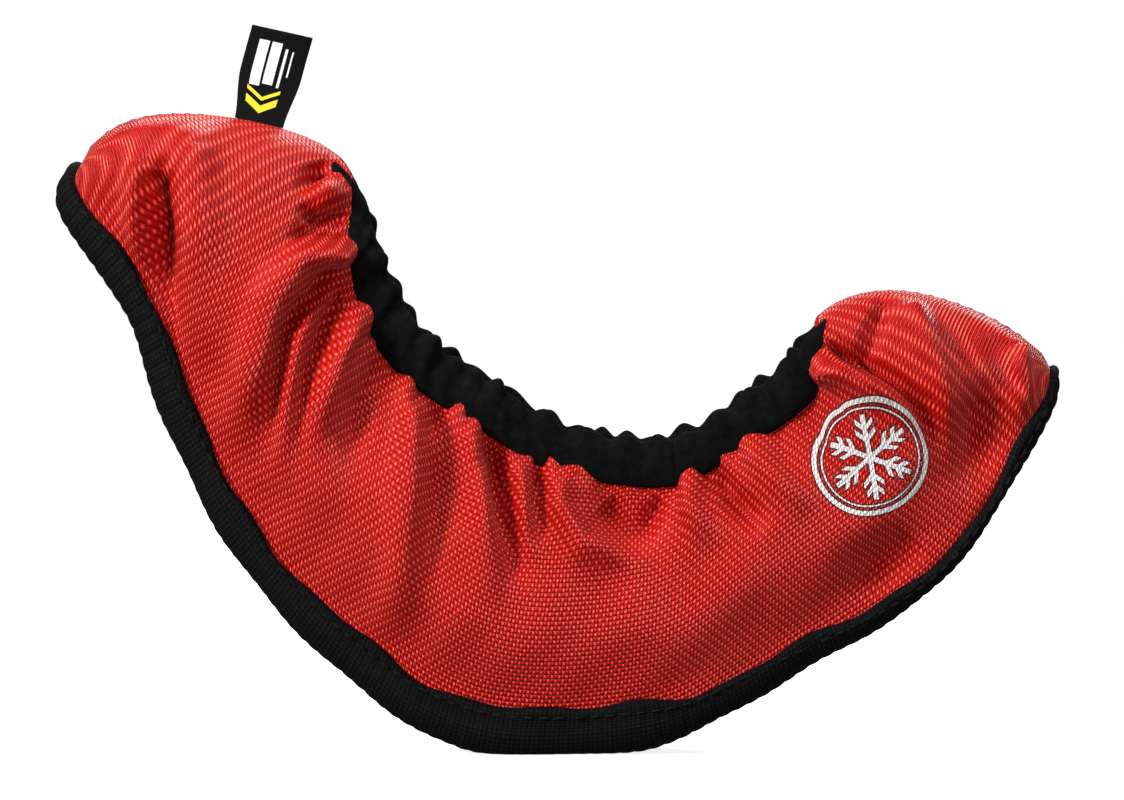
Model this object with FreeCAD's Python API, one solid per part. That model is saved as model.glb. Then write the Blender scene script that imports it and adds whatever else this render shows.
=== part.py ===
"""Soft blade guard for an ice skate, curled by its elastic and standing on its sole.

Frame, millimetres: +X from heel to toe, +Y to the guard's left, +Z up through the mouth.
The origin is under the middle of the bounding box, on the surface that the sole stands on.

Every piece is a sheet that follows the same set of cross sections. A cross section starts at the
sole line, runs across to the top line (hood seam or mouth edge), and is symmetric about Y = 0.
The long sheets are cut into five lengths, one for each body of the bending chain.
"""
import FreeCAD, Part
import math
import os

# ---------------------------------------------------------------- driving dimensions, millimetres
PANEL_THICKNESS = 1.0        # ballistic nylon with its backing
SOLE_THICKNESS = 2.2         # ribbed webbing
LINING_THICKNESS = 1.2       # absorbent terry
SHEET_GAP = 0.35             # air between two sheets
SOLE_CORNER_RADIUS = 5.0     # bend where the sole strip turns up the flank
CUFF_HEIGHT = 10.0           # folded fleece casing, root to crest
CUFF_HALF_THICKNESS = 2.2
CUFF_WALL = 0.9
CUFF_TO_PANEL = 0.4          # casing root above the panel's top edge
ELASTIC_WIDTH = 7.8
ELASTIC_THICKNESS = 1.2
SEAM_HALF_GAP = 0.4          # half the space between the two panels at a hood seam
MOUTH_HALF_GAP = 8.5         # half the space between the two panels at the mouth
THREAD_WIDTH = 1.0
THREAD_RISE = 0.7
THREAD_LIFT = 0.6            # thread clear of the sheet it lies on
LABEL_WIDTH = 16.0
LABEL_HEIGHT = 24.0
LABEL_PLY = 0.5              # one layer of the folded label
LABEL_HALF_GAP = 0.2         # half the space between the two layers
LABEL_CLEARANCE = 0.9        # foot of the free part above the seam
TACK_TOP = 0.1               # bar tack of the label, above the seam
TACK_DEPTH = 1.1

# Cross sections from heel corner to toe tip. Each row: sole line X, Z; top line X, Z;
# half width at the sole; half width at the belly; height of the sole strip's flank.
SECTIONS = [
    (-125.4, 149.5, -121.6, 157.4, 3.2, 3.4, 3.8),
    (-129.2, 141.0, -110.5, 164.3, 8.0, 10.0, 7.0),
    (-121.0, 127.2, -87.5, 165.2, 11.0, 15.5, 9.0),
    (-111.2, 112.0, -56.5, 154.5, 12.0, 18.5, 9.5),
    (-104.4, 91.0, -46.0, 130.5, 12.0, 20.0, 9.5),
    (-83.0, 50.0, -34.5, 108.5, 12.0, 20.5, 10.0),
    (-53.0, 17.8, -16.0, 95.5, 12.5, 21.0, 12.0),
    (-20.0, -0.1, -1.0, 85.8, 12.5, 21.0, 14.0),
    (21.0, 0.8, 18.0, 81.5, 12.5, 21.0, 13.0),
    (41.0, 8.4, 33.0, 82.8, 12.5, 20.5, 10.0),
    (68.0, 24.0, 48.0, 92.5, 12.0, 20.0, 7.5),
    (95.0, 41.0, 60.0, 102.5, 11.5, 18.5, 5.5),
    (112.0, 60.5, 68.5, 114.5, 11.0, 16.5, 4.8),
    (122.8, 79.0, 88.0, 120.0, 9.5, 13.5, 4.6),
    (128.7, 90.0, 112.0, 113.0, 7.0, 8.8, 4.6),
    (129.2, 97.0, 125.6, 103.6, 3.2, 3.4, 3.8),
]
HEEL_MOUTH_END = 3.0         # section where the heel hood ends and the mouth begins
TOE_MOUTH_END = 12.0         # section where the mouth ends and the toe hood begins
SEAM_DROP = 0.5              # sections over which a hood seam dips to the cuff's root
MOUTH_RAMP = 0.55            # sections over which the seam then opens to the mouth's full width

# Bodies of the bending chain, and the sections where each begins and ends.
SEGMENTS = [
    ("heel_end", 0.0, 4.0),
    ("heel_quarter", 4.0, 6.0),
    ("middle", 6.0, 9.0),
    ("toe_quarter", 9.0, 11.0),
    ("toe_end", 11.0, 15.0),
]
PANEL_FOOT = 1.35            # outline parameters of the panel's lower edge, under the sole strip,
LINING_TOP = 3.96            # and of the lining's upper edge, just below the panel's
BODY_GAP = 0.01              # sections left free between the lengths of two neighbouring bodies
ROWS_PER_SECTION = 6         # interpolation rows between two neighbouring sections
COLUMN_STEP = 2.6            # spacing of the interpolation columns along a cross section
LOOP_STEP = 2.2              # spacing of the frames along the mouth loop
LABEL_SECTIONS = (2.08, 2.5) # stretch of the heel hood seam that holds the label

Y_AXIS = FreeCAD.Vector(0, 1, 0)


# ---------------------------------------------------------------- cross sections
def track(*columns):
    """A smooth curve through one or two columns of SECTIONS, with the row number as parameter."""
    points = []
    for number, row in enumerate(SECTIONS):
        second = row[columns[1]] if len(columns) > 1 else 0.0
        points.append(FreeCAD.Vector(row[columns[0]], second, number))
    curve = Part.BSplineCurve()
    curve.interpolate(Points=points, Parameters=[float(i) for i in range(len(SECTIONS))])
    return curve


SOLE_LINE = track(0, 1)
TOP_LINE = track(2, 3)
SOLE_HALF_WIDTH = track(4)
BELLY_HALF_WIDTH = track(5)
FLANK_HEIGHT = track(6)


def smooth(x):
    """Smooth step from 0 to 1."""
    x = min(1.0, max(0.0, x))
    return x * x * (3.0 - 2.0 * x)


def mouth_openness(s):
    """0 along the hood seams, 1 along the mouth."""
    return smooth((s - HEEL_MOUTH_END) / MOUTH_RAMP) * smooth((TOE_MOUTH_END - s) / MOUTH_RAMP)


def edge_drop(s):
    """0 along the hood seams, 1 wherever the cuff stands on the panel's edge."""
    return smooth((s - HEEL_MOUTH_END) / SEAM_DROP + 1.0) * smooth((TOE_MOUTH_END - s) / SEAM_DROP + 1.0)


def place(s, y, t):
    """The point of cross section s at half width y, at distance t from the sole line."""
    sole = SOLE_LINE.value(s)
    top = TOP_LINE.value(s)
    up = FreeCAD.Vector(top.x - sole.x, 0, top.y - sole.y)
    up.normalize()
    return FreeCAD.Vector(sole.x, y, sole.y) + up * t


def depth(s):
    """Distance from the sole line to the top line."""
    sole = SOLE_LINE.value(s)
    top = TOP_LINE.value(s)
    return math.hypot(top.x - sole.x, top.y - sole.y)


def panel_top(s):
    """Distance of the side panel's top edge from the sole line."""
    return depth(s) - (CUFF_HEIGHT + CUFF_TO_PANEL) * edge_drop(s)


def outline(s, u):
    """Half outline (y, t) of the side panel's outer face.

    u runs 0 to 1 over the sole's flat, 1 to 2 round its corner, 2 to 3 up to the belly,
    and 3 to 4 from the belly to the top edge.
    """
    width = SOLE_HALF_WIDTH.value(s).x
    belly = BELLY_HALF_WIDTH.value(s).x
    radius = min(SOLE_CORNER_RADIUS, 0.6 * width)
    base = SOLE_THICKNESS + SHEET_GAP
    top = panel_top(s)
    corner_top = base + radius
    belly_height = corner_top + 0.42 * (top - corner_top)
    if u <= 1.0:
        return (width - radius) * u, base
    if u <= 2.0:
        angle = (u - 1.0) * math.pi / 2
        return width - radius + radius * math.sin(angle), corner_top - radius * math.cos(angle)
    if u <= 3.0:
        rise = u - 2.0
        return width + (belly - width) * smooth(rise), corner_top + (belly_height - corner_top) * rise
    opened = mouth_openness(s)
    edge = SEAM_HALF_GAP + (MOUTH_HALF_GAP - SEAM_HALF_GAP) * opened
    angle = (u - 3.0) * math.pi / 2
    fall = math.cos(angle) ** (1.0 + 1.2 * opened)
    return edge + (belly - edge) * fall, belly_height + (top - belly_height) * math.sin(angle)


def offset_point(s, u, offset):
    """Point of the half outline moved outward (offset > 0) or inward, square to the outline."""
    step = 0.02
    before = outline(s, max(0.0, u - step))
    after = outline(s, min(4.0, u + step))
    along_y, along_t = after[0] - before[0], after[1] - before[1]
    length = math.hypot(along_y, along_t)
    y, t = outline(s, u)
    return y + offset * along_t / length, t - offset * along_y / length


def flank_end(s):
    """Outline parameter u of the sole strip's upper edge."""
    width = SOLE_HALF_WIDTH.value(s).x
    radius = min(SOLE_CORNER_RADIUS, 0.6 * width)
    base = SOLE_THICKNESS + SHEET_GAP
    rise = FLANK_HEIGHT.value(s).x - base
    if rise < radius:
        return 1.0 + math.acos(1.0 - rise / radius) / (math.pi / 2)
    belly_rise = 0.42 * (panel_top(s) - base - radius)
    return 2.0 + (rise - radius) / belly_rise


def even_columns(s, first, last, count):
    """Outline parameters from first to last, evenly spaced along the outline."""
    steps = 120
    values = [first + (last - first) * i / steps for i in range(steps + 1)]
    points = [outline(s, u) for u in values]
    lengths = [0.0]
    for (y0, t0), (y1, t1) in zip(points, points[1:]):
        lengths.append(lengths[-1] + math.hypot(y1 - y0, t1 - t0))
    columns = [first]
    index = 1
    for number in range(1, count - 1):
        wanted = lengths[-1] * number / (count - 1)
        while lengths[index] < wanted:
            index += 1
        share = (wanted - lengths[index - 1]) / (lengths[index] - lengths[index - 1])
        columns.append(values[index - 1] + share * (values[index] - values[index - 1]))
    return columns + [last]


def column_count(start, end, first, last):
    """Number of columns that keeps their spacing near COLUMN_STEP on the deepest section."""
    longest = 0.0
    for s in (start, (start + end) / 2, end):
        points = [outline(s, first + (last(s) - first) * i / 40) for i in range(41)]
        length = sum(math.hypot(b[0] - a[0], b[1] - a[1]) for a, b in zip(points, points[1:]))
        longest = max(longest, length)
    return 2 + int(longest / COLUMN_STEP)


# ---------------------------------------------------------------- solids from two grids of points
def span(start, end, count):
    return [start + (end - start) * i / (count - 1) for i in range(count)]


def rows(start, end):
    return span(start, end, max(4, 1 + int(math.ceil((end - start) * ROWS_PER_SECTION))))


def sheet_solid(outer, inner):
    """Closed solid between two grids of points with the same rows and columns."""
    faces = []
    edges = []
    for grid in (outer, inner):
        surface = Part.BSplineSurface()
        surface.interpolate(grid)
        u0, u1, v0, v1 = surface.bounds()
        faces.append(surface.toShape())
        edges.append([
            surface.uIso(u0).toShape(), surface.uIso(u1).toShape(),
            surface.vIso(v0).toShape(), surface.vIso(v1).toShape(),
        ])
    for first, second in zip(edges[0], edges[1]):
        faces.append(Part.makeRuledSurface(first, second))
    shell = Part.makeShell(faces)
    shell.sewShape()
    solid = Part.makeSolid(shell)
    if solid.Volume < 0:
        solid.reverse()
    return solid


def mirrored(shape):
    return shape.mirror(FreeCAD.Vector(0, 0, 0), Y_AXIS)


def wall(start, end, first, last, inner_offset, outer_offset, count=0):
    """One-sided sheet on the left (+Y) side, between two offsets of the outline.

    first and last give the outline parameters of its lower and upper edges at a section.
    """
    count = count or column_count(start, end, first(start), last)

    def grid(offset):
        return [[place(s, *offset_point(s, u, offset)) for u in even_columns(s, first(s), last(s), count)]
                for s in rows(start, end)]
    return sheet_solid(grid(outer_offset), grid(inner_offset))


def trough(start, end, last, inner_offset, outer_offset):
    """Sheet that runs from one side, under the sole, to the other side."""
    count = column_count(start, end, 0.0, last)

    def row(s, offset):
        half = [offset_point(s, u, offset) for u in even_columns(s, 0.0, last(s), count)]
        across = [(-y, t) for y, t in reversed(half[1:])] + half
        return [place(s, y, t) for y, t in across]

    def grid(offset):
        return [row(s, offset) for s in rows(start, end)]
    return sheet_solid(grid(outer_offset), grid(inner_offset))


# ---------------------------------------------------------------- pieces
def side_panel(start, end):
    return wall(start, end, lambda s: PANEL_FOOT, lambda s: 4.0, -PANEL_THICKNESS, 0.0)


def sole_strip(start, end):
    strip = trough(start, end, flank_end, SHEET_GAP, SHEET_GAP + SOLE_THICKNESS)
    if strip.BoundBox.ZMin < 0:
        below = Part.makeBox(400, 100, 20, FreeCAD.Vector(-200, -50, -20))
        strip = strip.cut(below)
    return strip


def lining(start, end):
    outer = -PANEL_THICKNESS - SHEET_GAP
    return trough(start, end, lambda s: LINING_TOP, outer - LINING_THICKNESS, outer)


def thread_line(start, end, edge, rest):
    """Raised stitch line on a sheet's outer face, below the outline parameter edge(s)."""
    left = wall(start, end, lambda s: edge(s) - 0.10, lambda s: edge(s) - 0.05, rest, rest + THREAD_RISE, 3)
    return Part.makeCompound([left, mirrored(left)])


def sole_seam_thread(start, end):
    return thread_line(start, end, flank_end, SHEET_GAP + SOLE_THICKNESS + THREAD_LIFT)


def cuff_seam_thread(start, end):
    return thread_line(start, end, lambda s: 3.96, THREAD_LIFT)


def hood_seam_thread(start, end):
    """Raised stitch line on top of a hood seam."""
    half = THREAD_WIDTH / 2
    stations = rows(start, end)
    outer = [[place(s, y, panel_top(s) + THREAD_LIFT + THREAD_RISE) for y in (-half, 0.0, half)] for s in stations]
    inner = [[place(s, y, panel_top(s) + THREAD_LIFT) for y in (-half, 0.0, half)] for s in stations]
    return sheet_solid(outer, inner)


def mouth_length_per_section(s):
    """Length of the top line for one step of the section number."""
    before = TOP_LINE.value(s - 0.05)
    after = TOP_LINE.value(s + 0.05)
    return math.hypot(after.x - before.x, after.y - before.y) / 0.1


def mouth_run(start, end, side):
    """Frames (section, y, along-section, along-y) of a straight run; side is 1 left or -1 right."""
    count = max(4, 1 + int(abs(end - start) * mouth_length_per_section((start + end) / 2) / LOOP_STEP))
    return [(s, side * MOUTH_HALF_GAP, 0.0, float(side)) for s in span(start, end, count)]


def mouth_turn(hinge, mouth_end):
    """Frames from the right side at the hinge section, round the mouth's end, to the left side."""
    direction = -1.0 if mouth_end < hinge else 1.0
    per_section = mouth_length_per_section(mouth_end - direction * 0.3)
    centre = mouth_end - direction * (MOUTH_HALF_GAP + CUFF_HALF_THICKNESS + 0.6) / per_section
    count = int(math.pi * MOUTH_HALF_GAP / LOOP_STEP)
    bend = []
    for i in range(1, count):
        angle = -math.pi / 2 + math.pi * i / count
        along = direction * math.cos(angle) / per_section
        bend.append((centre + along * MOUTH_HALF_GAP, MOUTH_HALF_GAP * math.sin(angle),
                     along, math.sin(angle)))
    return mouth_run(hinge, centre, -1) + bend + mouth_run(centre, hinge, 1)


def swept_sheet(frames, outer_points, inner_points):
    """Sheet along the mouth loop; the points are (across, height) pairs in each frame."""
    def grid(points):
        result = []
        for s, y, along_s, along_y in frames:
            row = []
            for across, height in points:
                section = s + along_s * across
                root = depth(section) - CUFF_HEIGHT
                row.append(place(section, y + along_y * across, root + height))
            result.append(row)
        return result
    return sheet_solid(grid(outer_points), grid(inner_points))


def folded_profile(half, top, legs, fold):
    """Evenly spaced points from the outer leg's foot over a round fold to the inner leg's foot."""
    centre = top - half
    outer_leg = [(half, height) for height in span(0.0, centre, legs)]
    round_fold = [(half * math.cos(math.pi * i / fold), centre + half * math.sin(math.pi * i / fold))
                  for i in range(1, fold)]
    return outer_leg + round_fold + [(-half, height) for _, height in reversed(outer_leg)]


def mouth_loop(start, end, outer_points, inner_points):
    """The part of a piece of the mouth loop that lies between two sections."""
    if start < HEEL_MOUTH_END:
        return swept_sheet(mouth_turn(end, HEEL_MOUTH_END), outer_points, inner_points)
    if end > TOE_MOUTH_END:
        return swept_sheet(mouth_turn(start, TOE_MOUTH_END), outer_points, inner_points)
    left = swept_sheet(mouth_run(start, end, 1), outer_points, inner_points)
    return Part.makeCompound([left, mirrored(left)])


def cuff_casing(start, end):
    outer = folded_profile(CUFF_HALF_THICKNESS, CUFF_HEIGHT, 7, 6)
    inner = folded_profile(CUFF_HALF_THICKNESS - CUFF_WALL, CUFF_HEIGHT - CUFF_WALL, 7, 6)
    return mouth_loop(start, end, outer, inner)


def elastic_band(start, end):
    half = ELASTIC_THICKNESS / 2
    heights = span(0.5, 0.5 + ELASTIC_WIDTH, 4)
    return mouth_loop(start, end, [(half, h) for h in heights], [(-half, h) for h in heights])


def elastic_join_stitches():
    """Two zig-zag stitch rows on the band's overlapped ends, inside the casing at the toe quarter."""
    half = ELASTIC_THICKNESS / 2
    stitches = []
    for s in (9.9, 10.1):
        frames = [(s + 0.01 * i, MOUTH_HALF_GAP, 0.0, 1.0) for i in range(4)]
        heights = span(1.5, 7.0, 4)
        stitches.append(swept_sheet(frames, [(half + 0.4, h) for h in heights],
                                    [(half + 0.05, h) for h in heights]))
    return Part.makeCompound(stitches)


def label_frame():
    """Root centre, direction along the seam and direction up the label."""
    first, last = (TOP_LINE.value(s) for s in LABEL_SECTIONS)
    root = FreeCAD.Vector((first.x + last.x) / 2, 0, (first.y + last.y) / 2)
    along = FreeCAD.Vector(last.x - first.x, 0, last.y - first.y)
    along.normalize()
    return root, along, Y_AXIS.cross(along) * -1


def heel_label():
    """Woven tape folded double: two layers joined by a round fold at the top."""
    root, along, up = label_frame()
    half = LABEL_HALF_GAP + LABEL_PLY
    foot = root - along * (LABEL_WIDTH / 2) + up * LABEL_CLEARANCE
    centre = LABEL_HEIGHT - half

    def at(y, height):
        return foot + Y_AXIS * y + up * height
    edges = [
        Part.makeLine(at(half, 0), at(half, centre)),
        Part.Arc(at(half, centre), at(0, centre + half), at(-half, centre)).toShape(),
        Part.makeLine(at(-half, centre), at(-half, 0)),
        Part.makeLine(at(-half, 0), at(-LABEL_HALF_GAP, 0)),
        Part.makeLine(at(-LABEL_HALF_GAP, 0), at(-LABEL_HALF_GAP, centre)),
        Part.Arc(at(-LABEL_HALF_GAP, centre), at(0, centre + LABEL_HALF_GAP),
                 at(LABEL_HALF_GAP, centre)).toShape(),
        Part.makeLine(at(LABEL_HALF_GAP, centre), at(LABEL_HALF_GAP, 0)),
        Part.makeLine(at(LABEL_HALF_GAP, 0), at(half, 0)),
    ]
    return Part.Face(Part.Wire(edges)).extrude(along * LABEL_WIDTH)


def label_root_stitches():
    """Bar tack in the seam under the label."""
    root, along, up = label_frame()
    length = LABEL_WIDTH - 2
    width = 2 * SEAM_HALF_GAP - 0.2
    block = Part.makeBox(length, width, TACK_DEPTH)
    corner = root - along * (length / 2) - Y_AXIS * (width / 2) - up * (TACK_DEPTH - TACK_TOP)
    block.Placement = FreeCAD.Placement(corner, FreeCAD.Rotation(along, Y_AXIS, up, "XYZ"))
    return block


# ---------------------------------------------------------------- write one file per node
def clipped(start, end, low, high):
    return max(start, low), min(end, high)


def build():
    nodes = {}
    for name, start, end in SEGMENTS:
        start += BODY_GAP if start > 0 else 0.0
        end -= BODY_GAP if end < len(SECTIONS) - 1 else 0.0
        left = side_panel(start, end)
        nodes["side_panel_left_" + name] = left
        nodes["side_panel_right_" + name] = mirrored(left)
        nodes["sole_strip_" + name] = sole_strip(start, end)
        nodes["lining_" + name] = lining(*clipped(start, end, 1.0, 14.0))
        nodes["cuff_casing_" + name] = cuff_casing(start, end)
        nodes["elastic_band_" + name] = elastic_band(start, end)
        nodes["sole_seam_thread_" + name] = sole_seam_thread(*clipped(start, end, 0.6, 14.4))
        if start > HEEL_MOUTH_END and end < TOE_MOUTH_END:
            nodes["cuff_seam_thread_" + name] = cuff_seam_thread(start, end)
    nodes["heel_hood_seam_thread"] = Part.makeCompound([
        hood_seam_thread(0.3, LABEL_SECTIONS[0] - 0.1), hood_seam_thread(LABEL_SECTIONS[1] + 0.1, 2.9)])
    nodes["toe_hood_seam_thread"] = hood_seam_thread(12.5, 14.7)
    nodes["heel_label"] = heel_label()
    nodes["label_root_stitches"] = label_root_stitches()
    nodes["elastic_join_stitches"] = elastic_join_stitches()
    return nodes


os.makedirs("parts", exist_ok=True)
for node, shape in build().items():
    shape.exportStep(os.path.join("parts", node + ".step"))
    print(node, "valid" if shape.isValid() else "INVALID", round(shape.Volume, 1))
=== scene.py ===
"""Soft skate blade guard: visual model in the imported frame, in metres.

The cloth pieces follow the same cross sections as the CAD solids. A cross section starts at the
sole line, runs across to the top line (hood seam or mouth edge), and is symmetric about Y = 0.
Lengths in the tables are millimetres, and MM turns them into metres.
"""
import math

import bpy
import numpy as np
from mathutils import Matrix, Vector


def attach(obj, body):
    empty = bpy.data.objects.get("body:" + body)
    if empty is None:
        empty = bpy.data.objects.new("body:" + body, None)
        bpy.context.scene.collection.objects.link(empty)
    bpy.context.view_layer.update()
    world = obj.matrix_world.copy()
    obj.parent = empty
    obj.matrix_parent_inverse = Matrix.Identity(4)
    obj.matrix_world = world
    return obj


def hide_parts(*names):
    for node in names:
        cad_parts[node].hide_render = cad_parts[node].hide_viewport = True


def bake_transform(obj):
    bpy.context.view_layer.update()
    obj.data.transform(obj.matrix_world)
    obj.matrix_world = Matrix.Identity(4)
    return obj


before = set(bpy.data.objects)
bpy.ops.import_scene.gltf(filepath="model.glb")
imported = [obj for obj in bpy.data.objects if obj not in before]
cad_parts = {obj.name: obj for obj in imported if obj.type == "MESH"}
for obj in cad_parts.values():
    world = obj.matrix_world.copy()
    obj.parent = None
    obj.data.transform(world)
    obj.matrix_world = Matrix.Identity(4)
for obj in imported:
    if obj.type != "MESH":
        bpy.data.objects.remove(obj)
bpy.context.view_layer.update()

MM = 0.001

# ---------------------------------------------------------------- driving dimensions, millimetres
PANEL_THICKNESS = 1.0
SOLE_THICKNESS = 2.2
LINING_THICKNESS = 1.2
SHEET_GAP = 0.35
PANEL_BASE = SOLE_THICKNESS + SHEET_GAP
SOLE_CORNER_RADIUS = 5.0
CORNER_SHARE = 0.6           # a corner takes no more than this share of the sole's half width
WAIST_SHARE = 0.42           # height of the widest place, as a share of the panel above the corner
CUFF_HEIGHT = 10.0
CUFF_TO_PANEL = 0.4
SEAM_HALF_GAP = 0.4
MOUTH_HALF_GAP = 8.5
RIB_PITCH = 3.9
RIB_HEIGHT = 0.3
STRIP_EDGE = 1.4             # width over which the sole strip's edge rolls down
YARN_ALONG = 1.0             # yarn pitch of the panels' weave along the guard and up the panel
YARN_UP = 1.22
LABEL_WIDTH = 16.0
LABEL_HEIGHT = 24.5
LABEL_PLY = 0.5
LABEL_HALF_GAP = 0.2
LABEL_SECTIONS = (2.08, 2.5)  # sections between which the label stands in the heel hood's seam
# Pitch, length and radius of each kind of stitch.
SOLE_STITCH = (4.0, 3.0, 0.38)
CUFF_STITCH = (3.4, 2.4, 0.28)
HOOD_STITCH = (3.6, 2.6, 0.36)
TACK_RADIUS = 0.30
JOIN_STITCH_RADIUS = 0.25

# Cross sections from heel corner to toe tip. Each row: sole line X, Z; top line X, Z;
# half width at the sole; half width at the belly; height of the sole strip's flank.
SECTIONS = np.array([
    (-125.4, 149.5, -121.6, 157.4, 3.2, 3.4, 3.8),
    (-129.2, 141.0, -110.5, 164.3, 8.0, 10.0, 7.0),
    (-121.0, 127.2, -87.5, 165.2, 11.0, 15.5, 9.0),
    (-111.2, 112.0, -56.5, 154.5, 12.0, 18.5, 9.5),
    (-104.4, 91.0, -46.0, 130.5, 12.0, 20.0, 9.5),
    (-83.0, 50.0, -34.5, 108.5, 12.0, 20.5, 10.0),
    (-53.0, 17.8, -16.0, 95.5, 12.5, 21.0, 12.0),
    (-20.0, -0.1, -1.0, 85.8, 12.5, 21.0, 14.0),
    (21.0, 0.8, 18.0, 81.5, 12.5, 21.0, 13.0),
    (41.0, 8.4, 33.0, 82.8, 12.5, 20.5, 10.0),
    (68.0, 24.0, 48.0, 92.5, 12.0, 20.0, 7.5),
    (95.0, 41.0, 60.0, 102.5, 11.5, 18.5, 5.5),
    (112.0, 60.5, 68.5, 114.5, 11.0, 16.5, 4.8),
    (122.8, 79.0, 88.0, 120.0, 9.5, 13.5, 4.6),
    (128.7, 90.0, 112.0, 113.0, 7.0, 8.8, 4.6),
    (129.2, 97.0, 125.6, 103.6, 3.2, 3.4, 3.8),
])
LAST = len(SECTIONS) - 1
MIDDLE = LAST / 2
HEEL_MOUTH_END = 2.93        # sections where the hoods end and the cuff begins
TOE_MOUTH_END = 11.95
MOUTH_ROUND = 0.45           # sections that each rounded end of the mouth takes
NOSE_ROUND = 0.40            # sections over which the closed tips round off to the middle plane
HEEL_CUFF_GROWTH = 1.9       # sections over which the cuff comes out from under the heel hood
HEEL_CUFF_LEAD = 0.12        # sections by which it starts before the end of the mouth
TOE_CUFF_GROWTH = 0.95

# The chain of pieces: each long piece is cut at mid-body sections and has one hinge section within it.
# Rows: piece suffix, first and last section, hinge section, bodies before and after the hinge,
# and how far the bend reaches on either side of the hinge, in millimetres.
SPANS = [
    ("heel_end", 0.0, 5.0, 4.0, "heel_end", "heel_quarter", 22.0, 22.0),
    ("heel_quarter", 5.0, 7.5, 6.0, "heel_quarter", "middle", 21.0, 25.0),
    ("toe_quarter", 7.5, 10.0, 9.0, "middle", "toe_quarter", 22.0, 15.0),
    ("toe_end", 10.0, 15.0, 11.0, "toe_quarter", "toe_end", 14.0, 22.0),
]

EMBLEM_CENTRE = (80.0, 77.5)  # middle of the printed snow star, in the side view
EMBLEM_RADIUS = 14.5
EMBLEM_TILT = 0.35

ROWS = 24                    # rows of the panels' grid per section
COLUMNS = 91                 # its columns from the sole's middle to one top edge
FOOT_COLUMN = 9              # the side panel's lower edge, hidden under the sole strip
FLAT_SHARE = 21 / 23         # the panel's share of the half outline; the rest is under the sole
STRIP_ROWS = 36              # rows of the sole strip's grid per section
STRIP_COLUMNS = 44           # its columns from the sole's middle to one edge
TOP_EDGE = 4.0               # outline parameter of the panel's top edge


# ---------------------------------------------------------------- curves and cross sections
def natural_spline(values):
    """Function that interpolates values at 0, 1, 2, ... with a natural cubic spline."""
    n = len(values)
    matrix = np.eye(n)
    right = np.zeros(n)
    for i in range(1, n - 1):
        matrix[i, i - 1:i + 2] = (1, 4, 1)
        right[i] = 6 * (values[i - 1] - 2 * values[i] + values[i + 1])
    bend = np.linalg.solve(matrix, right)

    def at(s):
        s = np.clip(np.asarray(s, float), 0, n - 1)
        i = np.minimum(s.astype(int), n - 2)
        b = s - i
        a = 1 - b
        return (a * values[i] + b * values[i + 1]
                + ((a ** 3 - a) * bend[i] + (b ** 3 - b) * bend[i + 1]) / 6)
    return at


SOLE_X, SOLE_Z, TOP_X, TOP_Z, SOLE_HALF, BELLY_HALF, FLANK = [natural_spline(c) for c in SECTIONS.T]


def smooth(x):
    """Eases from 0 to 1 as x goes from 0 to 1."""
    x = np.clip(x, 0.0, 1.0)
    return x * x * (3.0 - 2.0 * x)


def openness(s):
    """0 along the hood seams, 1 along the mouth; each end of the mouth is a half ellipse in plan."""
    heel = np.clip((s - HEEL_MOUTH_END) / MOUTH_ROUND, 0, 1)
    toe = np.clip((TOE_MOUTH_END - s) / MOUTH_ROUND, 0, 1)
    return np.sqrt(1 - (1 - heel) ** 2) * np.sqrt(1 - (1 - toe) ** 2)


def edge_drop(s):
    """0 along the hood seams, 1 where the cuff stands at its full height on the panel's edge."""
    heel = smooth((s - HEEL_MOUTH_END + HEEL_CUFF_LEAD) / HEEL_CUFF_GROWTH)
    return heel * smooth((TOE_MOUTH_END - s) / TOE_CUFF_GROWTH)


def depth(s):
    """Distance from the sole line to the top line, in millimetres."""
    return np.hypot(TOP_X(s) - SOLE_X(s), TOP_Z(s) - SOLE_Z(s))


def panel_top(s):
    """Distance from the sole line to the panel's top edge, in millimetres."""
    return depth(s) - (CUFF_HEIGHT + CUFF_TO_PANEL) * edge_drop(s)


def nose(s):
    """Share of its width that a section keeps; 0 at both tips, so the guard is closed there."""
    near = np.clip(np.minimum(s, LAST - s) / NOSE_ROUND, 0, 1)
    return np.sqrt(1 - (1 - near) ** 2)


def place(s, y, t):
    """Points of cross section s at half width y and distance t from the sole line, in metres."""
    s, y, t = np.broadcast_arrays(s, y, t)
    d = depth(s)
    x = SOLE_X(s) + (TOP_X(s) - SOLE_X(s)) / d * t
    z = SOLE_Z(s) + (TOP_Z(s) - SOLE_Z(s)) / d * t
    return np.stack([x, y * nose(s), z], -1) * MM


def corner_radius(s):
    return np.minimum(SOLE_CORNER_RADIUS, CORNER_SHARE * SOLE_HALF(s))


def outline(s, u):
    """Half outline (y, t) of the side panel's outer face; u is 0 at the sole's middle, 4 at the top."""
    width, belly = SOLE_HALF(s), BELLY_HALF(s)
    radius = corner_radius(s)
    top = panel_top(s)
    corner = PANEL_BASE + radius
    waist = corner + WAIST_SHARE * (top - corner)
    turn = np.clip(u - 1, 0, 1) * math.pi / 2
    rise = np.clip(u - 2, 0, 1)
    roof = np.clip(u - 3, 0, 1) * math.pi / 2
    opened = openness(s)
    edge = SEAM_HALF_GAP + (MOUTH_HALF_GAP - SEAM_HALF_GAP) * opened
    fall = np.maximum(np.cos(roof), 0) ** (1.0 + 0.9 * opened)
    y = np.where(u <= 1, (width - radius) * u,
                 np.where(u <= 2, width - radius + radius * np.sin(turn),
                          np.where(u <= 3, width + (belly - width) * smooth(rise),
                                   edge + (belly - edge) * fall)))
    t = np.where(u <= 1, PANEL_BASE,
                 np.where(u <= 2, corner - radius * np.cos(turn),
                          np.where(u <= 3, corner + (waist - corner) * rise,
                                   waist + (top - waist) * np.sin(roof))))
    return y, t


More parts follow.
